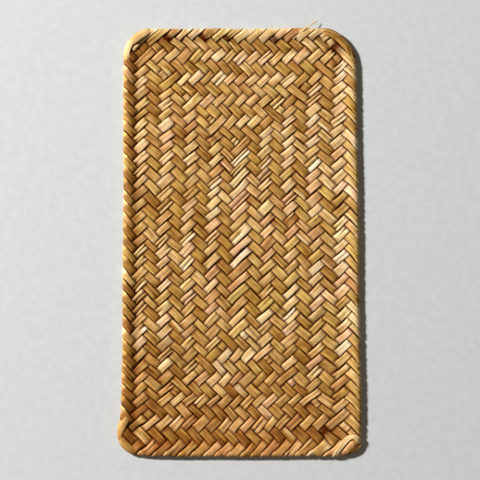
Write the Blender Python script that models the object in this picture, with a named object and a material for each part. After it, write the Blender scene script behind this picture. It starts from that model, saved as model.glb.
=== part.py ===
"""Seagrass placemat: one flat plaited sheet with rounded corners and a thicker, folded-over border.

Metres, +Z up. The mat lies face up, its flat underside on z = 0, and its length runs along Y.
Tables are in millimetres. The outline is a little uneven, as hand plaiting leaves it.
"""

import math

import bmesh
import bpy

MM = 0.001

# Driving sizes, in millimetres.
MAT_WIDTH = 129.0
MAT_LENGTH = 235.0
RIM_HEIGHT = 3.5  # where the strands turn back and lie double
FIELD_HEIGHT = 2.3  # two strands, one over the other
FIELD_PITCH = 8.2  # size of the field's cells
EDGE_REACH = 26.0  # how far in the uneven outline is felt
STRAW = (0.52, 0.33, 0.13, 1.0)

# The border's section, from its outer side inwards: how far in from the outline each ring of
# points lies, and how high, on the face and on the underside.
RIM_SECTION = [
    # name           face_in  face_height  under_in  under_height
    ("side", 0.00, 0.48, 0.12, 0.24),
    ("upper round", 0.30, 0.76, 0.80, 0.00),
    ("shoulder", 1.10, 0.94, 1.60, 0.00),
    ("crown", 2.70, 1.00, 2.90, 0.00),
    ("crown end", 4.60, 0.93, 4.70, 0.00),
    ("foot", 6.40, 0.74, 6.40, 0.00),
    ("field edge", 8.30, 0.66, 8.30, 0.00),
]

CORNERS = [
    # name          x_side  y_side  radius
    ("near left", -1, -1, 9.5),
    ("near right", 1, -1, 9.0),
    ("far left", -1, 1, 16.0),
    ("far right", 1, 1, 20.0),
]

# How far each side bulges out of the plain rectangle, at stations along it from -1 to 1.
SIDE_STATIONS = (-1.0, -0.9, -0.75, -0.5, -0.25, 0.0, 0.25, 0.5, 0.75, 0.9, 1.0)
SIDE_BULGES = [
    # name     axis  side  bulge at each station
    ("left", 0, -1, (0.9, 2.0, 0.4, 0.0, 0.2, 0.1, 0.0, 0.4, 0.5, 0.3, 0.0)),
    ("right", 0, 1, (0.3, 0.8, 1.0, 0.6, 0.2, 0.4, 0.2, -0.3, -0.4, -1.0, -1.2)),
    ("near", 1, -1, (-1.2, -0.9, 0.1, 0.4, 0.3, 0.5, 0.4, 0.2, 0.3, -0.7, -1.3)),
    ("far", 1, 1, (-0.8, -0.5, 0.2, 0.0, 0.3, -0.1, 0.2, 0.5, 0.1, -0.4, -0.9)),
]

# Slow unevenness of the face, as crossed waves.
FACE_WAVES = [
    # name      length_x  length_y  phase  height
    ("long", 260.0, 150.0, 0.4, 0.07),
    ("slant", 90.0, -70.0, 1.9, 0.05),
    ("short", 47.0, 61.0, 3.1, 0.03),
]


def ease(t):
    t = min(1.0, max(0.0, t))
    return t * t * (3.0 - 2.0 * t)


def bulge_at(bulges, t):
    """The side's bulge at t from -1 to 1, eased between the stations."""
    t = min(1.0, max(-1.0, t))
    for k in range(len(SIDE_STATIONS) - 1):
        low, high = SIDE_STATIONS[k], SIDE_STATIONS[k + 1]
        if t <= high:
            return bulges[k] + (bulges[k + 1] - bulges[k]) * ease((t - low) / (high - low))
    return bulges[-1]


def grid_lines(half):
    """Insets of the grid lines from one side to the middle: the border's rings, then even cells."""
    rim_face = [row[1] for row in RIM_SECTION]
    rim_under = [row[3] for row in RIM_SECTION]
    span = half - rim_face[-1]
    cells = max(2, round(span / FIELD_PITCH))
    field = [rim_face[-1] + span * (k + 1) / cells for k in range(cells)]
    return rim_face + field, rim_under + field


HALF = (MAT_WIDTH / 2, MAT_LENGTH / 2)
LINES = (grid_lines(HALF[0]), grid_lines(HALF[1]))
COUNT = (2 * (len(LINES[0][0]) - 1), 2 * (len(LINES[1][0]) - 1))


def corner_radius(x, y):
    return next(r for _, sx, sy, r in CORNERS if sx * x >= 0 and sy * y >= 0)


def height_over(x, y):
    """Slow unevenness of the face at a point."""
    return sum(
        high * math.sin(2 * math.pi * (x / lx + y / ly) + phase)
        for _, lx, ly, phase, high in FACE_WAVES
    )


def place(i, j, face):
    """The point of grid line i across and j along, on the face or on the underside."""
    k = 0 if face else 1
    at = []
    for axis, n in ((0, i), (1, j)):
        back = COUNT[axis] - n
        side = -1.0 if n <= back else 1.0
        at.append((side, LINES[axis][k][min(n, back)]))
    (sx, in_x), (sy, in_y) = at
    x, y = sx * (HALF[0] - in_x), sy * (HALF[1] - in_y)

    # Each ring of points is a rectangle whose corner is turned into an arc.
    inset = min(in_x, in_y)
    radius = max(0.0, corner_radius(x, y) - inset)
    a, b = HALF[0] - inset, HALF[1] - inset
    cx, cy = abs(x) - (a - radius), abs(y) - (b - radius)
    if radius > 0 and cx > 0 and cy > 0:
        turn = cy / cx if cx >= cy else 2.0 - cx / cy
        angle = turn * math.pi / 4
        x = sx * (a - radius + radius * math.cos(angle))
        y = sy * (b - radius + radius * math.sin(angle))

    # The uneven outline, fading out towards the middle.
    shift = [0.0, 0.0]
    for _, axis, side, bulges in SIDE_BULGES:
        across, along = (x, y) if axis == 0 else (y, x)
        depth = HALF[axis] - side * across
        if depth < EDGE_REACH:
            shift[axis] += side * bulge_at(bulges, along / HALF[1 - axis]) * (
                1.0 - ease(depth / EDGE_REACH)
            )
    x, y = x + shift[0], y + shift[1]

    ring = min(i, COUNT[0] - i, j, COUNT[1] - j)
    if not face:
        return x, y, RIM_SECTION[ring][4] * RIM_HEIGHT if ring < len(RIM_SECTION) else 0.0
    if ring < len(RIM_SECTION):
        share = ring / (len(RIM_SECTION) - 1)
        height = RIM_SECTION[ring][2] * RIM_HEIGHT + share * height_over(x, y)
    else:
        height = FIELD_HEIGHT + height_over(x, y)
    return x, y, height


def build_sheet(name):
    """A grid for the underside, extruded to a face, and each point then moved to its place."""
    bm = bmesh.new()
    bmesh.ops.create_grid(bm, x_segments=COUNT[0], y_segments=COUNT[1], size=0.5)
    line = {
        v: (round((v.co.x + 0.5) * COUNT[0]), round((v.co.y + 0.5) * COUNT[1]))
        for v in bm.verts
    }
    under = list(bm.verts)
    made = bmesh.ops.extrude_face_region(bm, geom=bm.faces[:], use_keep_orig=True)
    top = [v for v in made["geom"] if isinstance(v, bmesh.types.BMVert)]
    spots = {}
    for v in under:
        spots[v] = place(*line[v], face=False)
    for v in top:
        spots[v] = place(
            round((v.co.x + 0.5) * COUNT[0]), round((v.co.y + 0.5) * COUNT[1]), face=True
        )
    low = [min(p[k] for p in spots.values()) for k in (0, 1)]
    high = [max(p[k] for p in spots.values()) for k in (0, 1)]
    middle = [(low[k] + high[k]) / 2 for k in (0, 1)]
    for v, p in spots.items():
        v.co = ((p[0] - middle[0]) * MM, (p[1] - middle[1]) * MM, p[2] * MM)
    bmesh.ops.recalc_face_normals(bm, faces=bm.faces[:])
    mesh = bpy.data.meshes.new(name)
    bm.to_mesh(mesh)
    bm.free()
    return mesh


def straw_material():
    material = bpy.data.materials.new("straw")
    material.use_nodes = True
    shader = material.node_tree.nodes["Principled BSDF"]
    shader.inputs["Base Color"].default_value = STRAW
    shader.inputs["Roughness"].default_value = 0.55
    shader.inputs["Metallic"].default_value = 0.0
    material.diffuse_color = STRAW
    return material


def main():
    for old in list(bpy.data.objects):
        bpy.data.objects.remove(old, do_unlink=True)
    collection = bpy.data.collections.new("seagrass_placemat")
    bpy.context.scene.collection.children.link(collection)

    mesh = build_sheet("placemat")
    mesh.materials.append(straw_material())
    mesh.shade_smooth()
    mesh.set_sharp_from_angle(angle=math.radians(50))
    mat = bpy.data.objects.new("placemat", mesh)
    collection.objects.link(mat)


main()
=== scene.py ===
"""Looks of the seagrass placemat: every strand of its plaiting as its own closed ribbon.

Lengths here are in millimetres until a mesh is made. The mat lies face up on the floor, its length along Y.
"Rising" strands run from lower left to upper right, "falling" ones from upper left to lower right.
"""

import math

import bpy
import numpy as np
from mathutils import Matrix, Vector


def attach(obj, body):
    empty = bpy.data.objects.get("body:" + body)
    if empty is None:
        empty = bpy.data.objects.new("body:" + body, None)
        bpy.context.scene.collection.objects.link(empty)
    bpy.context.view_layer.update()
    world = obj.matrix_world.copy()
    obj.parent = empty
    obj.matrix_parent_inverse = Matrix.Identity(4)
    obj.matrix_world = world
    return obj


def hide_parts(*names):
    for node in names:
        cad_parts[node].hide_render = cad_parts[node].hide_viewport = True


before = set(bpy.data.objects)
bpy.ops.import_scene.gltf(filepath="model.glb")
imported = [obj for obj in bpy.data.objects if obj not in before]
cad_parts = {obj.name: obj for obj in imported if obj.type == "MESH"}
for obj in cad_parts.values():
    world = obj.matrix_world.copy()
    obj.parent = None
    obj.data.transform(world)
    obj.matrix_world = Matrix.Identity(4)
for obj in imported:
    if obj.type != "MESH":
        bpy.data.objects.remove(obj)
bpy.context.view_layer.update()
MM = 0.001

# ---------------------------------------------------------------- sizes

HALF_W, HALF_L = 64.5, 117.5  # the outline before its unevenness
CORNERS = {(-1, -1): 9.5, (1, -1): 9.0, (-1, 1): 16.0, (1, 1): 20.0}  # radius at each corner
EDGE_REACH = 26.0
SIDE_STATIONS = (-1.0, -0.9, -0.75, -0.5, -0.25, 0.0, 0.25, 0.5, 0.75, 0.9, 1.0)
SIDE_BULGES = [
    # name     axis  side  bulge at each station
    ("left", 0, -1, (0.9, 2.0, 0.4, 0.0, 0.2, 0.1, 0.0, 0.4, 0.5, 0.3, 0.0)),
    ("right", 0, 1, (0.3, 0.8, 1.0, 0.6, 0.2, 0.4, 0.2, -0.3, -0.4, -1.0, -1.2)),
    ("near", 1, -1, (-1.2, -0.9, 0.1, 0.4, 0.3, 0.5, 0.4, 0.2, 0.3, -0.7, -1.3)),
    ("far", 1, 1, (-0.8, -0.5, 0.2, 0.0, 0.3, -0.1, 0.2, 0.5, 0.1, -0.4, -0.9)),
]

THICK = 0.90  # of one strand
FOLD_R = 1.28  # half the height of a strand's centre line where it turns round the rim
FOLD_OUT = 1.95  # how far out of the rim's axis that centre line reaches
RIM_MID = 1.75  # height of the rim's axis
RIM_IN = FOLD_OUT + THICK / 2  # how far in from the outline the rim's axis runs
FIELD_MID, FIELD_RISE = 1.02, 0.50  # height of the plaiting's middle, and how far a strand leaves it
EDGE_MID, EDGE_RISE = 2.40, 0.63  # the same just inside the rim

# Places where the strands draw apart and leave a dark gap, deepened with painted shade.
GAPS = [
    # x     y      reach  depth
    (52.0, 106.6, 2.4, 1.0),
    (55.0, 103.6, 1.8, 0.8),
    (35.0, -91.5, 2.0, 0.9),
    (45.5, -103.8, 2.2, 0.9),
    (-40.4, 112.0, 1.6, 0.8),
    (-21.0, 112.2, 1.6, 0.8),
    (-7.5, 112.0, 1.6, 0.7),
    (18.5, 111.8, 1.8, 0.8),
    (-56.0, -100.5, 1.8, 0.7),
    (-14.0, 56.0, 1.5, 0.5),
    (21.0, -38.0, 1.5, 0.6),
    (-33.0, -65.0, 1.6, 0.6),
    (8.0, 12.0, 1.4, 0.5),
]

LAST_K, LAST_M = 20, 38  # columns and rows of crossings from the middle to the rim
# Where the columns and rows of crossings lie.
COLUMN_AT = [
    # column  x
    (-26.0, -82.0),
    (-18.5, -60.7),
    (-16.5, -55.0),
    (-14.5, -48.4),
    (-10.5, -34.7),
    (-6.5, -21.6),
    (-2.5, -8.5),
    (0.0, -1.0),
    (2.5, 7.2),
    (6.5, 20.1),
    (10.5, 33.5),
    (14.5, 47.3),
    (16.5, 54.6),
    (18.5, 60.6),
    (26.0, 82.0),
]
ROW_AT = [
    # row  y
    (-44.0, -137.5),
    (-36.5, -113.4),
    (-34.5, -106.6),
    (-32.5, -99.9),
    (-30.5, -93.4),
    (-28.5, -87.4),
    (-26.5, -81.8),
    (-12.9, -39.1),
    (0.4, 3.7),
    (14.1, 46.7),
    (28.5, 89.4),
    (32.5, 101.9),
    (34.5, 108.2),
    (36.5, 113.5),
    (44.0, 135.5),
]

rng = np.random.default_rng(7)


def ease(t):
    t = np.clip(t, 0.0, 1.0)
    return t * t * (3.0 - 2.0 * t)


def column_x(k):
    return np.interp(k, [r[0] for r in COLUMN_AT], [r[1] for r in COLUMN_AT])


def row_y(m):
    return np.interp(m, [r[0] for r in ROW_AT], [r[1] for r in ROW_AT])


def slow_shift(x, y):
    """Hand-plaited drift of the crossings, a few tenths of a millimetre over some centimetres."""
    dx = 0.42 * np.sin(x / 17.0 + y / 23.0 + 0.6) + 0.30 * np.sin(y / 9.5 - x / 31.0 + 2.2)
    dy = 0.42 * np.sin(x / 15.0 - y / 27.0 + 1.1) + 0.28 * np.sin(x / 8.0 + y / 19.0 + 4.0)
    dx = dx + 0.16 * np.sin(x / 4.1 + y / 3.7 + 0.9) + 0.05 * np.sin(x / 1.9 - y / 2.9 + 5.1)
    dy = dy + 0.16 * np.sin(x / 3.6 - y / 4.3 + 3.4) + 0.05 * np.sin(x / 2.2 + y / 1.8 + 1.7)
    return dx, dy


def rim_distance(x, y):
    """How far each point is outside the rim's axis, and the outward direction there."""
    radius = np.select(
        [(x < 0) & (y < 0), (x >= 0) & (y < 0), (x < 0)],
        [CORNERS[-1, -1], CORNERS[1, -1], CORNERS[-1, 1]],
        CORNERS[1, 1],
    )
    radius = radius - RIM_IN
    qx = np.abs(x) - (HALF_W - RIM_IN - radius)
    qy = np.abs(y) - (HALF_L - RIM_IN - radius)
    px, py = np.maximum(qx, 0.0), np.maximum(qy, 0.0)
    out = np.hypot(px, py)
    d = out + np.minimum(np.maximum(qx, qy), 0.0) - radius
    flat = np.where(qx > qy, 1.0, 0.0)
    far = out > 1e-9
    nx = np.where(far, px / np.maximum(out, 1e-9), flat) * np.where(x < 0, -1.0, 1.0)
    ny = np.where(far, py / np.maximum(out, 1e-9), 1.0 - flat) * np.where(y < 0, -1.0, 1.0)
    return d, nx, ny, (qx > 0) & (qy > 0)


# ---------------------------------------------------------------- plaiting

STRANDS = 32  # more than enough each way from the middle
HALVES = np.arange(-STRANDS, STRANDS + 1) - 0.5


def edges_between(seed):
    """Where each strand's two edges lie, in strands: close to even, with wide and narrow ones."""
    r = np.random.default_rng(seed)
    jitter = r.uniform(-0.115, 0.115, len(HALVES))
    drift = 0.10 * np.sin(HALVES / 3.7 + r.uniform(0, 6)) + 0.07 * np.sin(
        HALVES / 1.9 + r.uniform(0, 6)
    )
    return HALVES + jitter + drift


RISING_EDGES, FALLING_EDGES = edges_between(11), edges_between(23)


def crossing(a, b):
    """The place of rising strand a and falling strand b, both in edge positions, not whole numbers."""
    x, y = column_x(b - a), row_y(a + b)
    dx, dy = slow_shift(x, y)
    return x + dx, y + dy


def rising_on_top(a, b):
    """Whether the rising strand lies on top at a crossing. Nested rings of floats over two, mitred at the corners."""
    k, m = b - a, a + b
    ring_x = np.floor((LAST_K - 1 - np.abs(k)) / 2)
    ring_y = np.floor((LAST_M - 1 - np.abs(m)) / 2)
    ring_x, ring_y = np.maximum(ring_x, 0), np.maximum(ring_y, 0)
    side = (LAST_K - np.abs(k)) < (LAST_M - np.abs(m))
    top = np.where(side, ring_x % 2 == 1, ring_y % 2 == 0)
    x, y = column_x(k), row_y(m)
    d, nx, ny, corner = rim_distance(x, y)
    # Round a corner the border of one side runs on until it meets the next side's.
    angle = np.degrees(np.arctan2(np.abs(ny), np.abs(nx)))
    turned = np.where(x * y > 0, angle > 66, angle > 24)
    return np.where(corner & (d > -6.0), turned, top)


SECTION = [
    # across  height, of a strand's half width and thickness
    (-1.0, -0.10),
    (-0.92, 0.48),
    (-0.64, 0.88),
    (-0.12, 0.99),
    (0.0, 0.98),
    (0.12, 0.99),
    (0.64, 0.88),
    (0.92, 0.48),
    (1.0, -0.10),
    (0.80, -0.62),
    (0.27, -0.95),
    (-0.27, -0.95),
    (-0.80, -0.62),
]
AROUND = len(SECTION)
SEC_U = np.array([s[0] for s in SECTION])
SEC_H = np.array([s[1] for s in SECTION])


class Pile:
    """Gathers ribbons into one mesh, with what their material reads."""

    NAMES = ("across", "along", "seed", "tone", "hue", "warm", "shade", "slit")

    def __init__(self):
        self.points, self.faces, self.values, self.strips = [], [], {n: [] for n in self.NAMES}, []
        self.count = 0

    def add(self, grid, values):
        """grid is rings by AROUND by 3, closed round and capped at both ends."""
        rings = len(grid)
        base = self.count
        self.points.append(grid.reshape(-1, 3))
        for n in self.NAMES:
            self.values[n].append(np.broadcast_to(values[n], grid.shape[:2]).ravel())
        i = np.arange(rings - 1)[:, None] * AROUND + np.arange(AROUND)[None, :]
        j = np.arange(rings - 1)[:, None] * AROUND + (np.arange(AROUND)[None, :] + 1) % AROUND
        quads = np.stack([i, i + AROUND, j + AROUND, j], -1).reshape(-1, 4) + base
        self.faces.append(quads)
        step = np.linalg.norm(np.diff(grid[:, 4], axis=0), axis=1)
        self.strips.append((base, rings, np.concatenate([[0.0], np.cumsum(step)])))
        self.count += rings * AROUND

    def mesh(self, name):
        points = np.concatenate(self.points) * MM
        quads = np.concatenate(self.faces)
        caps = []
        for base, rings, _ in self.strips:
            caps.append(base + np.arange(AROUND))
            caps.append(base + (rings - 1) * AROUND + np.arange(AROUND)[::-1])
        me = bpy.data.meshes.new(name)
        loops = np.concatenate([quads.ravel()] + caps).astype(np.int32)
        sizes = np.concatenate([np.full(len(quads), 4), np.full(len(caps), AROUND)])
        starts = np.concatenate([[0], np.cumsum(sizes)[:-1]]).astype(np.int32)
        me.vertices.add(len(points))
        me.vertices.foreach_set("co", points.astype(np.float32).ravel())
        me.loops.add(len(loops))
        me.loops.foreach_set("vertex_index", loops)
        me.polygons.add(len(sizes))
        me.polygons.foreach_set("loop_start", starts)
        me.polygons.foreach_set("loop_total", sizes.astype(np.int32))
        me.update(calc_edges=True)
        for n in self.NAMES:
            layer = me.attributes.new(n, "FLOAT", "POINT")
            layer.data.foreach_set("value", np.concatenate(self.values[n]).astype(np.float32))
        self.lay_out(me, len(quads))
        me.shade_smooth()
        sharp = np.zeros(len(sizes), bool)
        sharp[len(quads):] = True
        me.polygons.foreach_set("use_smooth", ~sharp)
        assert not me.validate(), name
        return me

    def lay_out(self, me, quad_count):
        """A texture map on which every ribbon is a straight strip, in rows."""
        row_mm, girth = 262.0, 10.4
        order = sorted(range(len(self.strips)), key=lambda n: -self.strips[n][2][-1])
        rows, place = [], {}
        for n in order:
            need = self.strips[n][2][-1] + 2.0
            for r, used in enumerate(rows):
                if used + need <= row_mm:
                    break
            else:
                rows.append(0.0)
                r = len(rows) - 1
            place[n] = (r, rows[r])
            rows[r] += need
        high = 1.0 / len(rows)
        uv = []
        for n, (_, rings, along) in enumerate(self.strips):
            r, start = place[n]
            u = (start + 1.0 + along) / row_mm
            v = (r + 0.06 + 0.88 * np.arange(AROUND + 1) / AROUND) * high
            u0, u1 = u[:-1, None], u[1:, None]
            v0, v1 = v[None, :-1], v[None, 1:]
            full = np.broadcast_arrays(u0, u1, v0, v1)
            u0, u1, v0, v1 = full
            uv.append(
                np.stack(
                    [
                        np.stack([u0, v0], -1),
                        np.stack([u1, v0], -1),
                        np.stack([u1, v1], -1),
                        np.stack([u0, v1], -1),
                    ],
                    -2,
                ).reshape(-1, 2)
            )
        ends = []
        for n, (_, rings, along) in enumerate(self.strips):
            r, start = place[n]
            turn = 2 * np.pi * np.arange(AROUND) / AROUND
            for k, at in ((1, start + 0.5), (-1, start + 1.5 + along[-1])):
                ends.append(
                    np.stack(
                        [
                            (at + 0.35 * np.cos(k * turn)) / row_mm,
                            (r + 0.5 + 0.3 * np.sin(k * turn)) * high,
                        ],
                        -1,
                    )
                )
        layer = me.uv_layers.new(name="OFBake", do_init=False)
        layer.uv.foreach_set("vector", np.concatenate(uv + ends).astype(np.float32).ravel())


def levels(d):
    """Height of the plaiting's middle and its strands' rise from it, at a distance outside the rim's axis."""
    near = ease((d + 6.4) / 5.6)
    return FIELD_MID + (EDGE_MID - FIELD_MID) * near, FIELD_RISE + (EDGE_RISE - FIELD_RISE) * near, near


def fold(px, py, h, flat_z, raised, tuck_from, tx, ty, lean):
    """Points h above their strand's middle, on top of the mat, or round the rim and in under it."""
    d, ox, oy, _ = rim_distance(px, py)
    sx = px - tx * h * np.sin(lean)
    sy = py - ty * h * np.sin(lean)
    sz = flat_z + h * np.cos(lean)
    turn = np.clip(d / FOLD_R, 0.0, math.pi)
    inward = np.maximum(d - math.pi * FOLD_R, 0.0)
    tuck = ease((inward - tuck_from) / 2.6)
    radius = FOLD_R + raised + h * (1 - 0.6 * tuck)
    reach = (radius + FOLD_OUT - FOLD_R) * np.sin(turn) ** 1.2 - inward - d
    rz = RIM_MID + radius * np.sign(np.cos(turn)) * np.abs(np.cos(turn)) ** 1.2 + 0.95 * tuck
    round_rim = d > 0
    return np.stack(
        [
            np.where(round_rim, px + ox * reach, sx),
            np.where(round_rim, py + oy * reach, sy),
            np.where(round_rim, rz, sz),
        ],
        -1,
    )


def gap_depth(x, y):
    return np.clip(
        sum(deep * np.exp(-((x - gx) ** 2 + (y - gy) ** 2) / wide**2) for gx, gy, wide, deep in GAPS), 0, 1
    )


def strand(family, index):
    """One strand's rings, laid over and under the others and turned round the rim where it ends on top."""
    r = np.random.default_rng(1000 * (family + 1) + index + 500)
    mine, theirs = (RISING_EDGES, FALLING_EDGES) if family == 0 else (FALLING_EDGES, RISING_EDGES)
    low, high = np.interp([index - 0.5, index + 0.5], HALVES, mine)
    middle = (low + high) / 2

    def place(own, tau):
        other = np.interp(tau, HALVES, theirs)
        return crossing(own, other) if family == 0 else crossing(other, own)

    def on_top(n):
        up = rising_on_top(index, n) if family == 0 else ~rising_on_top(n, index).astype(bool)
        return np.where(up, 1.0, -1.0)

    fine = np.arange(-STRANDS + 1.0, STRANDS - 1.0, 0.02)
    fx, fy = place(middle, fine)
    fd, _, _, _ = rim_distance(fx, fy)
    inside = np.flatnonzero(fd < 0)
    if len(inside) * 0.02 < 1.6:
        return None
    first, last = fine[inside[0]], fine[inside[-1]]

    whole = np.arange(-STRANDS + 1, STRANDS)
    state = on_top(whole)
    lists = []
    for n, now, after in zip(whole[:-1], state[:-1], state[1:]):
        if n + 1 < first or n > last:
            continue
        lists.append(n + np.array([0.0, 0.5] if now == after else [0.0, 0.18, 0.34, 0.5, 0.66, 0.82]))
    tau = np.concatenate(lists)
    tau = tau[(tau > first + 0.12) & (tau < last - 0.12)]

    def lie(t):
        """Where the strand lies between its crossings: 1 on top, -1 below."""
        base = np.floor(t).astype(int)
        part = ease((t - base - 0.5) / 0.82 + 0.5)
        s0 = state[base + STRANDS - 1]
        s1 = state[base + STRANDS]
        return s0 + (s1 - s0) * part

    # The two ends: turned round the rim and in under the mat if on top there, or else stopped inside the rim.
    parts = [tau]
    wraps = []
    tuck_from = r.uniform(1.5, 2.9)
    for at, sense in ((first, -1.0), (last, 1.0)):
        out = at + sense * np.arange(0, 7.0, 0.01)
        ox, oy = place(middle, out)
        od, _, _, in_corner = rim_distance(ox, oy)
        over = lie(np.array([at]))[0] > -0.2
        wraps.append(over)
        if over:
            reach = math.pi * FOLD_R + tuck_from + (1.4 if in_corner[0] else 2.6)
            stations = np.concatenate(
                [
                    np.linspace(0.0, math.pi * FOLD_R, 14),
                    math.pi * FOLD_R + np.array([1.4, 2.8, 3.9, 4.9, 5.9, 6.9, 7.9]),
                ]
            )
            stations = np.append(stations[stations < reach - 0.3], reach)
            grow = np.maximum.accumulate(od)
            ok = grow > np.concatenate([[-1], grow[:-1]]) + 1e-9
            stations = stations[stations <= grow[-1]]
            ends = np.interp(stations, grow[ok], out[ok])
        else:
            ends = np.array([at - sense * 0.08])
        parts.append(ends)
    tau = np.unique(np.round(np.concatenate(parts), 5))
    if len(tau) < 6:
        return None

    cx, cy = place(middle, tau)
    tx, ty = np.gradient(cx, tau), np.gradient(cy, tau)
    speed = np.hypot(tx, ty)
    tx, ty = tx / speed, ty / speed
    nx, ny = -ty, tx
    # It doesn't lie quite straight: a little to one side or the other at each crossing.
    aside = np.interp(tau, whole, r.normal(0.0, 0.085, len(whole))) * ease((-rim_distance(cx, cy)[0] - 2.0) / 3.0)
    cx, cy = cx + nx * aside, cy + ny * aside
    lx, ly = place(low, tau)
    hx, hy = place(high, tau)
    pitch = np.abs((hx - lx) * nx + (hy - ly) * ny)
    length = np.concatenate([[0.0], np.cumsum(np.hypot(np.diff(cx), np.diff(cy)))])

    # Each float's own width, roll and colour, by the run of crossings that it belongs to.
    runs = np.cumsum(np.concatenate([[0], (np.diff(state) != 0).astype(int)]))
    run_mid = np.array([whole[runs == n].mean() for n in range(runs[-1] + 1)])
    count = runs[-1] + 1
    narrow = np.where(r.random(count) < 0.12, r.uniform(0.80, 0.9, count), 1.0)
    fill = np.interp(tau, run_mid, r.uniform(0.94, 1.02, count) * narrow)
    roll = np.interp(tau, run_mid, r.normal(0.0, 0.055, count))
    lift = np.interp(tau, run_mid, r.uniform(-0.05, 0.07, count))
    run_of = np.clip(np.round(np.interp(tau, whole + 0.0, runs)), 0, runs[-1]).astype(int)

    d, _, _, _ = rim_distance(cx, cy)
    gap = gap_depth(cx, cy)
    half = 0.5 * pitch * fill * 0.985 * (1 - 0.05 * ease((d + 5) / 4) + 0.10 * ease((d + 1.2) / 1.6))
    half *= 1 + 0.04 * np.sin(length / r.uniform(3.5, 6) + r.uniform(0, 6))
    # Where it passes from over to under it fills the corner between the others, so no light comes through.
    frac = tau - np.floor(tau)
    changes = np.abs(np.diff(state))[np.clip(np.floor(tau).astype(int) + STRANDS - 1, 0, len(state) - 2)] > 0
    half *= 1 + 0.15 * changes * ease(1 - np.abs(frac - 0.5) / 0.36)
    s = lie(tau)
    half *= 1 - 0.42 * gap * ease(s)
    half *= 1 - 0.55 * ease((d - math.pi * FOLD_R - tuck_from + 0.6) / 3.2)
    for over, near in zip(wraps, (tau < (first + last) / 2, tau >= (first + last) / 2)):
        if over:
            pull = ease((d + 2.6) / 2.4) * near
            s = s * (1 - pull) + pull

    # Slits and creases along the strand.
    has_slit = r.random() < 0.40
    slit = ease(
        (
            np.sin(length / r.uniform(7, 15) + r.uniform(0, 6))
            + 0.6 * np.sin(length / r.uniform(3, 6) + r.uniform(0, 6))
            - (0.35 if has_slit else 1.25)
        )
        / 0.3
    )
    slit_at = np.clip(r.normal(0.0, 0.22), -0.36, 0.36)
    crease = ease(np.sin(length / r.uniform(9, 20) + r.uniform(0, 6)) - 0.1)

    u = np.broadcast_to(SEC_U, (len(tau), AROUND)).copy()
    h = np.broadcast_to(SEC_H, (len(tau), AROUND)).copy() * THICK / 2
    u[:, 3:6] = u[:, 3:6] * (0.8 + 0.6 * slit[:, None]) + slit_at
    h[:, 4] -= THICK * (0.13 * crease + 0.80 * slit)
    h[:, 3] -= 0.04 * slit
    h[:, 5] -= 0.04 * slit
    h[:, :9] *= 1 - 0.22 * ease((d + 1.0) / 2.0)[:, None]  # pressed flat where it turns
    # A strand's own lengthwise swell: fuller on one side than on the other.
    swell = r.normal(0, 0.12) + 0.08 * np.sin(length / 11.0 + r.uniform(0, 6))
    h *= 1 + swell[:, None] * u
    h *= 1 + 0.10 * np.sin(length / r.uniform(4, 8) + r.uniform(0, 6))[:, None]

    lateral = u * half[:, None]
    px = cx[:, None] + nx[:, None] * lateral
    py = cy[:, None] + ny[:, None] * lateral
    dv, ox, oy, _ = rim_distance(px, py)
    for over, near in zip(wraps, (tau < (first + last) / 2, tau >= (first + last) / 2)):
        if not over:  # kept inside the rim
            back = np.where(near[:, None], np.maximum(dv + 0.35, 0.0), 0.0)
            px, py, dv = px - ox * back, py - oy * back, dv - back

    mid, rise, near_rim = levels(dv)
    float_arch = 0.16 * np.abs(s[:, None]) ** 3 * np.sign(s[:, None]) * (np.abs(tau - np.round(tau)) > 0.4)[:, None]
    flat_z = mid + rise * s[:, None] + (lift[:, None] + float_arch) * (1 - near_rim) - 0.35 * gap[:, None]
    slope = np.gradient(flat_z[:, 4], length + np.arange(len(length)) * 1e-9)
    lean = np.arctan(np.clip(slope, -0.8, 0.8))[:, None] * (1 - ease((dv + 1.2) / 1.2))
    rolled = h + lateral * roll[:, None] * (1 - ease((dv + 3) / 3))
    grid = fold(px, py, rolled, flat_z, 0.0, tuck_from, tx[:, None], ty[:, None], lean)

    # Painted shade, read by the material as shade: dark where a strand dives under the next and on the face another
    # lies on, lighter towards the rim, darker on the underside where it turns round the rim, and darker in the gaps.
    side = np.where(SEC_H[None, :] > 0.2, s[:, None], -s[:, None])
    side = np.where(dv > -2.0, np.maximum(side, ease((dv + 2.0) / 2.0) * s[:, None]), side)
    if wraps[0] or wraps[1]:
        side = np.where(dv > 0, np.where(SEC_H[None, :] > -0.2, 1.0, -0.4), side)
    shade = np.clip((side + 1) / 2, 0, 1) * (1 - 0.7 * gap[:, None])

    # Painted light on the two families: rising strands, which the light falls across, are painted paler as a painted
    # sheen, and falling ones darker as painted shade.
    family_light = (0.085, -0.065)[family]
    tone = (
        0.5
        + family_light
        + (0.075, 0.06)[family] * r.normal()
        + (0.070, 0.056)[family] * r.normal(0, 1, count)[run_of]
        + 0.05 * np.sin(length / 17 + r.uniform(0, 6))
    )
    tone = 0.515 + 0.27 * np.tanh((tone - 0.5) / 0.27)
    # Painted highlight along the rim, stronger on the left, and painted light on the borders: the right border painted
    # paler where it faces the light, the left one painted darker inside its rim as painted shade.
    rim_highlight = ease((d - 0.7) / 0.8)
    border = ease((d + 8.0) / 3.0) * (np.abs(cy) < 112)
    tone = tone + (0.10 + 0.05 * (cx < -40)) * rim_highlight + 0.12 * border * (cx > 40) - 0.12 * border * (1 - rim_highlight) * (cx < -40)
    hue = 0.5 + (0.09, -0.12)[family] + 0.14 * r.normal() + 0.09 * r.normal(0, 1, count)[run_of]
    # Towards the near end it is a little more orange, and darker with painted shade, most along the near border.
    hue = hue + 0.05 * ease((-cy - 55) / 50)
    tone = tone - 0.07 * ease((-cy - 45) / 45) - 0.04 * ease((-cy - 100) / 12)
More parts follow.
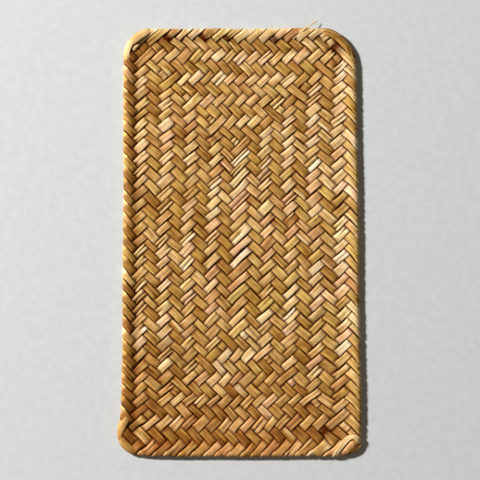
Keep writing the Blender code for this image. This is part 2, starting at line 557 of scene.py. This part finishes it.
    # The middle of the right half is a little paler than the left, and the far left a little darker.
    tone = tone + 0.055 * ease((cx + 25) / 45) * ease((85 - np.abs(cy + 15)) / 45)
    tone = tone - 0.04 * ease((-cx - 10) / 25) * ease((cy - 45) / 35) * (1 - rim_highlight)
    warm = 0.06 * r.normal() + 0.06 * r.normal(0, 1, count)[run_of]
    warm = warm + 0.22 * ease((-cy - 50) / 50) + 0.16 * ease((-cy - 104) / 8)
    split = r.normal(0, 0.08) * slit
    values = {
        # painted shade between strands kept lighter where they turn, under the painted rim highlight
        "across": u * (1 - 0.2 * rim_highlight[:, None]),  # less dark between strands where they turn
        "along": (length + 37.0 * index + 500.0 * family)[:, None],
        "seed": r.random(),
        "tone": np.clip(tone[:, None] + split[:, None] * np.sign(u - slit_at), 0, 1),
        "hue": np.clip(hue, 0, 1)[:, None],
        "warm": np.clip(warm, 0, 0.9)[:, None],
        "shade": shade,
        "slit": slit[:, None] * (np.arange(AROUND) == 4)[None, :],
    }
    return grid, values


def smooth_path(rows, step=0.7):
    """Rows of x, y and more, joined by one smooth curve and read off at even steps."""
    p = np.array(rows, float)
    p = np.concatenate([[2 * p[0] - p[1]], p, [2 * p[-1] - p[-2]]])
    t = np.linspace(0, 1, 24, endpoint=False)[:, None]
    curve = [
        0.5
        * (
            2 * b
            + (c - a) * t
            + (2 * a - 5 * b + 4 * c - d) * t**2
            + (3 * b - a - 3 * c + d) * t**3
        )
        for a, b, c, d in zip(p[:-3], p[1:-2], p[2:-1], p[3:])
    ]
    curve = np.concatenate([*curve, p[-2:-1]])
    run = np.concatenate([[0], np.cumsum(np.hypot(*np.diff(curve[:, :2], axis=0).T))])
    at = np.linspace(0, run[-1], max(4, round(run[-1] / step)))
    return np.stack([np.interp(at, run, column) for column in curve.T], -1), at


def loose_strand(rows, seed, tone, hue, thick=1.0, slit_depth=0.0, free=False):
    """A strand on a path of its own. Rows: x, y, half width, height above the strands on top (or if free, above the floor), roll."""
    r = np.random.default_rng(seed)
    path, length = smooth_path(rows)
    cx, cy, half, raised, roll = path.T
    tx, ty = np.gradient(cx), np.gradient(cy)
    speed = np.hypot(tx, ty)
    tx, ty = tx / speed, ty / speed
    nx, ny = -ty, tx
    half = half * (1 + 0.05 * np.sin(length / 2.3 + r.uniform(0, 6)))
    u = np.broadcast_to(SEC_U, (len(cx), AROUND)).copy()
    h = np.broadcast_to(SEC_H, (len(cx), AROUND)).copy() * THICK / 2 * thick
    h *= np.clip(half / 1.2, 0.35, 1.0)[:, None]
    h[:, 4] -= THICK * slit_depth
    lateral = u * half[:, None]
    px, py = cx[:, None] + nx[:, None] * lateral, cy[:, None] + ny[:, None] * lateral
    d, _, _, _ = rim_distance(px, py)
    mid, rise, _ = levels(d)
    rolled = h + lateral * roll[:, None]
    flat_z = mid + rise + raised[:, None]
    if free:
        grid = np.stack([px, py, raised[:, None] + rolled], -1)
    else:
        grid = fold(px, py, rolled, flat_z, raised[:, None], 4.0, tx[:, None], ty[:, None], np.zeros_like(px))
    values = {
        "across": u,
        "along": (length + 61.0 * seed)[:, None],
        "seed": r.random(),
        "tone": tone,
        "hue": hue,
        "warm": 0.15 if rows[0][1] < 0 else 0.0,
        # painted shade on the underside half
        "shade": np.where(SEC_H > -0.2, 1.0, 0.5)[None, :],
        "slit": (np.arange(AROUND) == 4)[None, :] * (1.0 if slit_depth else 0.0),
    }
    return grid, values


def on_rim(corner, degrees, outward):
    """A point at an angle round one corner's rim axis, or off it."""
    sx, sy = corner
    radius = CORNERS[corner] - RIM_IN
    x = HALF_W - RIM_IN - radius + (radius + outward) * math.cos(math.radians(degrees))
    y = HALF_L - RIM_IN - radius + (radius + outward) * math.sin(math.radians(degrees))
    return sx * x, sy * y


def uneven(points):
    """The outline's unevenness, as in the solid."""
    x, y = points[:, 0] / MM, points[:, 1] / MM
    shift = [np.zeros_like(x), np.zeros_like(y)]
    for _, axis, side, bulges in SIDE_BULGES:
        across, along = (x, y) if axis == 0 else (y, x)
        half, other = ((HALF_W, HALF_L), (HALF_L, HALF_W))[axis]
        t = np.clip(along / other, -1, 1)
        k = np.clip(np.searchsorted(SIDE_STATIONS, t, side="left") - 1, 0, len(SIDE_STATIONS) - 2)
        stations, values = np.array(SIDE_STATIONS), np.array(bulges)
        f = ease((t - stations[k]) / (stations[k + 1] - stations[k]))
        bulge = values[k] + (values[k + 1] - values[k]) * f
        depth = half - side * across
        shift[axis] += side * bulge * (1 - ease(depth / EDGE_REACH)) * (depth < EDGE_REACH)
    points[:, 0] += shift[0] * MM
    points[:, 1] += shift[1] * MM


def round_corner(corner, rows):
    """Rows of degrees, outward and the rest of a loose strand's row, turned into its own."""
    return [(*on_rim(corner, degrees, outward), *rest) for degrees, outward, *rest in rows]


# The strands that finish the corners, and one straw end left loose at the far rim.
LOOSE = [
    # rows, seed, tone, hue, and what differs
    (
        [
            (-61.9, 105.8, 1.3, -1.1, 0),
            (-60.5, 108.4, 1.8, 0.0, 0),
            (-58.6, 110.7, 2.2, 0.60, 0),
            (-55.8, 113.0, 2.3, 0.80, 0.03),
            (-52.3, 114.9, 2.1, 0.55, 0),
            (-49.4, 116.2, 1.7, -0.2, 0),
            (-46.6, 117.6, 1.4, -1.3, 0),
        ],
        *(1, 0.53, 0.56, {}),
    ),
    (
        round_corner(
            (-1, 1),
            [
                (50, 0.6, 1.0, -1.0, 0),
                (38, 0.6, 1.6, 0.35, 0),
                (24, 0.5, 1.8, 0.45, 0),
                (10, 0.4, 1.7, 0.30, 0),
                (-2, 0.0, 1.5, -0.1, 0),
                (-14, -0.6, 1.2, -1.3, 0),
            ],
        ),
        *(2, 0.66, 0.48, {}),
    ),
    (
        round_corner(
            (1, 1),
            [
                (99, 0.2, 0.8, -2.4, 0),
                (91, 0.2, 1.6, -0.9, 0),
                (82, 0.2, 2.2, 0.25, 0),
                (70, 0.2, 2.4, 0.45, 0.02),
                (58, 0.2, 2.5, 0.45, 0.03),
                (46, 0.2, 2.5, 0.40, 0.02),
                (32, 0.3, 2.4, 0.35, 0.0),
                (20, 0.2, 2.1, 0.10, -0.02),
                (11, 0.0, 1.7, -0.4, 0),
                (2, -0.2, 1.2, -1.3, 0),
            ],
        ),
        *(3, 0.37, 0.34, {"slit_depth": 0.22}),
    ),
    (
        [
            (-58.2, -92.6, 0.7, -1.5, 0),
            (-59.2, -95.2, 1.3, -0.7, 0),
            (-60.6, -98.2, 1.9, 0.15, 0),
            (-62.2, -101.6, 2.2, 0.40, 0),
            (-63.4, -105.2, 2.1, 0.35, 0),
            (-64.0, -108.6, 1.5, -0.1, 0),
            (-64.2, -111.0, 1.0, -0.9, 0),
        ],
        *(5, 0.54, 0.44, {}),
    ),
    (
        round_corner(
            (-1, -1),
            [
                (-14, 0.2, 1.2, -1.2, 0),
                (6, 0.3, 2.0, 0.0, 0),
                (28, 0.3, 2.4, 0.15, 0),
                (52, 0.3, 2.4, 0.20, 0),
                (74, 0.2, 2.0, -0.1, 0),
                (94, -0.2, 1.2, -1.3, 0),
            ],
        ),
        *(6, 0.43, 0.36, {}),
    ),
    (
        [
            (49.0, -119.0, 1.3, -0.2, 0),
            (50.6, -116.4, 1.6, 0.25, 0),
            (52.9, -113.2, 1.7, 0.50, 0),
            (56.0, -109.4, 1.7, 0.70, 0),
            (58.8, -107.5, 1.6, 0.70, 0),
            (61.2, -108.2, 1.5, 0.50, 0),
            (63.0, -110.4, 1.4, 0.1, 0),
            (64.6, -113.0, 1.0, -0.5, 0),
        ],
        *(7, 0.70, 0.47, {}),
    ),
    (
        [
            (52.0, -111.8, 1.2, 1.2, 0),
            (55.4, -113.8, 2.0, 1.9, 0),
            (58.8, -114.6, 2.1, 2.1, 0),
            (61.6, -114.2, 1.6, 2.0, 0.03),
            (63.6, -113.2, 0.9, 1.8, 0.05),
            (64.9, -112.2, 0.3, 1.6, 0.05),
        ],
        *(8, 0.50, 0.36, {"free": True}),
    ),
    (
        round_corner(
            (1, -1),
            [
                (-12, 0.0, 1.4, -1.3, 0),
                (10, -0.1, 2.0, -0.3, 0),
                (32, -0.3, 2.3, -0.1, 0),
                (56, -0.3, 2.3, -0.1, 0),
                (78, -0.1, 2.0, -0.3, 0),
                (98, 0.0, 1.4, -1.3, 0),
            ],
        ),
        *(9, 0.36, 0.40, {}),
    ),
    (
        [
            (28.6, 111.0, 0.50, 2.2, 0),
            (33.6, 115.3, 0.60, 3.3, 0),
            (38.0, 118.6, 0.50, 2.9, 0),
            (42.4, 121.6, 0.25, 1.6, 0),
        ],
        *(10, 0.74, 0.45, {"free": True, "thick": 0.8}),
    ),
]

# Under each corner one more strand follows the rim.
for seed, corner in enumerate(CORNERS, 21):
    rows = [
        (-20, 4.4, 1.0, -1.5, 0),
        (-6, 4.4, 2.0, 0.0, 0),
        (12, 4.4, 2.8, 0.28, 0),
        (30, 4.4, 3.1, 0.30, 0),
        (60, 4.4, 3.1, 0.30, 0),
        (78, 4.4, 2.8, 0.28, 0),
        (96, 4.4, 2.0, 0.0, 0),
        (110, 4.4, 1.0, -1.5, 0),
    ]
    LOOSE.append((round_corner(corner, rows), seed, 0.5, 0.4, {}))

piles = [Pile(), Pile(), Pile()]
for rows, seed, tone, hue, more in LOOSE:
    piles[2].add(*loose_strand(rows, seed, tone, hue, **more))
for family in (0, 1):
    for index in range(-STRANDS + 3, STRANDS - 2):
        made = strand(family, index)
        if made is not None:
            piles[family].add(*made)

for pile in piles:
    pile.points = [p * MM for p in pile.points]
    for p in pile.points:
        uneven(p)
    pile.points = [p / MM for p in pile.points]
    for p in pile.points:  # what would sink into the floor is pressed flat on it
        p[:, 2] = np.where(p[:, 2] < 0.08, np.maximum(0.08 + 0.3 * (p[:, 2] - 0.08), 0.01), p[:, 2])
everything = np.concatenate([p for pile in piles[:2] for p in pile.points])
shift = (everything.min(0) + everything.max(0)) / 2
for pile in piles:
    pile.points = [p - [shift[0], shift[1], 0.0] for p in pile.points]


# ---------------------------------------------------------------- materials


class Nodes:
    """Short names for making a material's nodes."""

    def __init__(self, name):
        self.material = bpy.data.materials.new(name)
        self.material.use_nodes = True
        self.tree = self.material.node_tree
        self.shader = self.tree.nodes["Principled BSDF"]

    def link(self, value, socket):
        if isinstance(value, bpy.types.NodeSocket):
            self.tree.links.new(value, socket)
        elif value is not None:
            socket.default_value = value

    def attribute(self, name):
        n = self.tree.nodes.new("ShaderNodeAttribute")
        n.attribute_name = name
        return n.outputs["Fac"]

    def math(self, operation, a, b=None, c=None, clamp=False):
        n = self.tree.nodes.new("ShaderNodeMath")
        n.operation, n.use_clamp = operation, clamp
        for socket, value in zip(n.inputs, (a, b, c)):
            self.link(value, socket)
        return n.outputs[0]

    def vector(self, x, y, z):
        n = self.tree.nodes.new("ShaderNodeCombineXYZ")
        for socket, value in zip(n.inputs, (x, y, z)):
            self.link(value, socket)
        return n.outputs[0]

    def noise(self, at, scale, detail=2.0, rough=0.5, output="Fac"):
        n = self.tree.nodes.new("ShaderNodeTexNoise")
        self.link(at, n.inputs["Vector"])
        n.inputs["Scale"].default_value = scale
        n.inputs["Detail"].default_value = detail
        n.inputs["Roughness"].default_value = rough
        return n.outputs[output]

    def ramp(self, value, stops):
        n = self.tree.nodes.new("ShaderNodeValToRGB")
        self.link(value, n.inputs[0])
        ramp = n.color_ramp
        while len(ramp.elements) < len(stops):
            ramp.elements.new(0.5)
        for element, (at, colour) in zip(ramp.elements, stops):
            element.position = at
            element.color = (*colour, 1.0) if len(colour) == 3 else colour
        return n.outputs[0]

    def mix(self, factor, a, b, blend="MIX"):
        n = self.tree.nodes.new("ShaderNodeMix")
        n.data_type, n.blend_type = "RGBA", blend
        self.link(factor, n.inputs[0])
        self.link(a, n.inputs[6])
        self.link(b, n.inputs[7])
        return n.outputs[2]

    def map(self, value, low, high, to_low=0.0, to_high=1.0):
        n = self.tree.nodes.new("ShaderNodeMapRange")
        self.link(value, n.inputs["Value"])
        for name, v in zip(("From Min", "From Max", "To Min", "To Max"), (low, high, to_low, to_high)):
            n.inputs[name].default_value = v
        return n.outputs[0]


def srgb(r, g, b):
    def linear(c):
        c /= 255
        return c / 12.92 if c <= 0.04045 else ((c + 0.055) / 1.055) ** 2.4

    return tuple(linear(c) for c in (r, g, b))


def straw(name):
    m = Nodes(name)
    across, along, seed = m.attribute("across"), m.attribute("along"), m.attribute("seed")
    tone, hue, warm, shade, slit = (m.attribute(n) for n in ("tone", "hue", "warm", "shade", "slit"))
    seed_far = m.math("MULTIPLY", seed, 97.0)
    fibre_at = m.vector(m.math("MULTIPLY", across, 7.0), m.math("MULTIPLY", along, 0.055), seed_far)
    fine_at = m.vector(m.math("MULTIPLY", across, 17.0), m.math("MULTIPLY", along, 0.16), seed_far)
    blotch_at = m.vector(m.math("MULTIPLY", across, 0.8), m.math("MULTIPLY", along, 0.16), seed_far)
    fibre = m.noise(fibre_at, 1.0, 3.0, 0.6)
    fine = m.noise(fine_at, 1.0, 2.0, 0.6)
    blotch = m.noise(blotch_at, 1.0, 3.0, 0.55)
    speck = m.noise(m.vector(m.math("MULTIPLY", across, 3.0), m.math("MULTIPLY", along, 1.1), seed_far), 1.0, 3.0, 0.6)

    # Straw from dark honey to pale, then a drift to olive or to pinkish brown.
    light = m.math("ADD", tone, m.map(blotch, 0.25, 0.75, -0.16, 0.16))
    light = m.math("ADD", light, m.map(fibre, 0.25, 0.75, -0.12, 0.12))
    colour = m.ramp(
        light,
        [
            (0.02, srgb(108, 56, 6)),
            (0.29, srgb(163, 111, 43)),
            (0.52, srgb(207, 165, 100)),
            (0.74, srgb(240, 208, 159)),
            (0.96, srgb(253, 238, 210)),
        ],
    )
    olive = m.map(hue, 0.10, 0.60, 1.0, 0.0)
    pink = m.map(hue, 0.54, 0.94, 0.0, 0.72)
    colour = m.mix(olive, colour, m.mix(1.0, colour, (*srgb(229, 223, 170), 1), "MULTIPLY"))
    colour = m.mix(pink, colour, m.mix(1.0, colour, (*srgb(240, 210, 216), 1), "MULTIPLY"))
    rust = m.map(m.noise(m.vector(m.math("MULTIPLY", across, 0.6), m.math("MULTIPLY", along, 0.09), m.math("ADD", seed_far, 31.0)), 1.0, 2.0), 0.60, 0.74, 0.0, 0.32)
    colour = m.mix(m.math("MAXIMUM", rust, warm), colour, m.mix(1.0, colour, (*srgb(240, 182, 120), 1), "MULTIPLY"))
    bands = m.noise(m.vector(m.math("MULTIPLY", across, 2.4), m.math("MULTIPLY", along, 0.035), seed_far), 1.0, 1.0)
    band = m.map(bands, 0.34, 0.66, 0.76, 1.15)
    colour = m.mix(1.0, colour, m.vector(band, band, band), "MULTIPLY")
    streak = m.map(fine, 0.30, 0.70, 0.82, 1.08)
    colour = m.mix(1.0, colour, m.vector(streak, streak, streak), "MULTIPLY")
    specks = m.map(speck, 0.30, 0.46, 0.78, 1.0)
    colour = m.mix(1.0, colour, m.vector(specks, specks, specks), "MULTIPLY")
    # Painted shade down the middle and painted highlight on the shoulders.
    side = m.map(m.math("ABSOLUTE", across), 0.05, 0.60, 0.87, 1.11)
    colour = m.mix(1.0, colour, m.vector(side, side, side), "MULTIPLY")
    # Painted shade between strands along their edges (their own edges are a little browner too), in slits, and where a
    # strand dives under the next; the specular is lowered there as well.
    edge = m.map(m.math("ABSOLUTE", across), 0.76, 1.0, 1.0, 0.06)
    dive = m.map(shade, 0.50, 1.0, 0.03, 1.0)
    cut = m.map(slit, 0.2, 1.0, 1.0, 0.16)
    dark = m.math("MULTIPLY", m.math("MULTIPLY", edge, dive), cut)
    colour = m.mix(dark, (*srgb(76, 24, 0), 1), colour)
    m.link(colour, m.shader.inputs["Base Color"])
    m.link(m.map(fibre, 0.3, 0.7, 0.70, 0.52), m.shader.inputs["Roughness"])
    m.link(m.map(dark, 0.25, 1.0, 0.03, 0.27), m.shader.inputs["Specular IOR Level"])
    m.shader.inputs["Specular Tint"].default_value = (1.0, 0.94, 0.82, 1.0)

    height = m.math("ADD", m.math("MULTIPLY", fibre, 0.7), m.math("MULTIPLY", fine, 0.45))
    height = m.math("ADD", height, m.math("MULTIPLY", speck, 0.12))
    bump = m.tree.nodes.new("ShaderNodeBump")
    bump.inputs["Strength"].default_value = 0.55
    bump.inputs["Distance"].default_value = 0.00022
    m.link(height, bump.inputs["Height"])
    m.link(bump.outputs[0], m.shader.inputs["Normal"])
    return m.material


material = straw("straw")
for name, pile in zip(("strands_rising", "strands_falling", "strands_at_corners"), piles):
    me = pile.mesh(name)
    me.materials.append(material)
    ob = bpy.data.objects.new(name, me)
    bpy.context.scene.collection.objects.link(ob)
    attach(ob, "root")
    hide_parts("placemat")
    me.calc_loop_triangles()
    print(name, len(me.loop_triangles), "triangles")

# ---------------------------------------------------------------- floor, light and camera

bpy.ops.mesh.primitive_plane_add(size=6.0, location=(0, 0, -0.0001))
floor = bpy.context.object
floor.name = "floor"
paper = Nodes("floor_paper")
grain = paper.noise(paper.tree.nodes.new("ShaderNodeTexCoord").outputs["Object"], 240.0, 2.0)
paper.link(
    paper.ramp(grain, [(0.3, (0.503, 0.522, 0.535)), (0.7, (0.543, 0.562, 0.575))]),
    paper.shader.inputs["Base Color"],
)
paper.shader.inputs["Roughness"].default_value = 0.9
floor.data.materials.append(paper.material)

world = bpy.data.worlds.new("studio")
bpy.context.scene.world = world
world.use_nodes = True
world.node_tree.nodes["Background"].inputs["Color"].default_value = (1.0, 0.87, 0.64, 1)
world.node_tree.nodes["Background"].inputs["Strength"].default_value = 0.07


def lamp(name, at, size, power, colour=(1, 1, 1)):
    data = bpy.data.lights.new(name, "AREA")
    data.shape, data.size, data.energy, data.color = "DISK", size, power, colour
    ob = bpy.data.objects.new(name, data)
    ob.location = at
    ob.rotation_euler = (Vector((0, 0, 0)) - Vector(at)).to_track_quat("-Z", "Y").to_euler()
    bpy.context.scene.collection.objects.link(ob)


lamp("key", (-1.89, 1.044, 1.332), 0.36, 137.0, (1.0, 0.985, 0.955))
lamp("fill", (0.9, -0.6, 1.3), 1.2, 2.2, (1.0, 0.92, 0.78))

LEAN = math.radians(83.5)  # the camera's height above the mat's plane
FAR = 1.08
camera_data = bpy.data.cameras.new("camera")
camera = bpy.data.objects.new("camera", camera_data)
bpy.context.scene.collection.objects.link(camera)
aim = Vector((0.0, 0.0, 0.001))
camera.location = aim + FAR * Vector((0.0, -math.cos(LEAN), math.sin(LEAN)))
camera.rotation_euler = (aim - camera.location).to_track_quat("-Z", "Y").to_euler()
camera_data.sensor_width = 36.0
camera_data.lens = 36.0 * FAR / 0.262
bpy.context.scene.camera = camera
bpy.context.scene.view_settings.view_transform = "Standard"
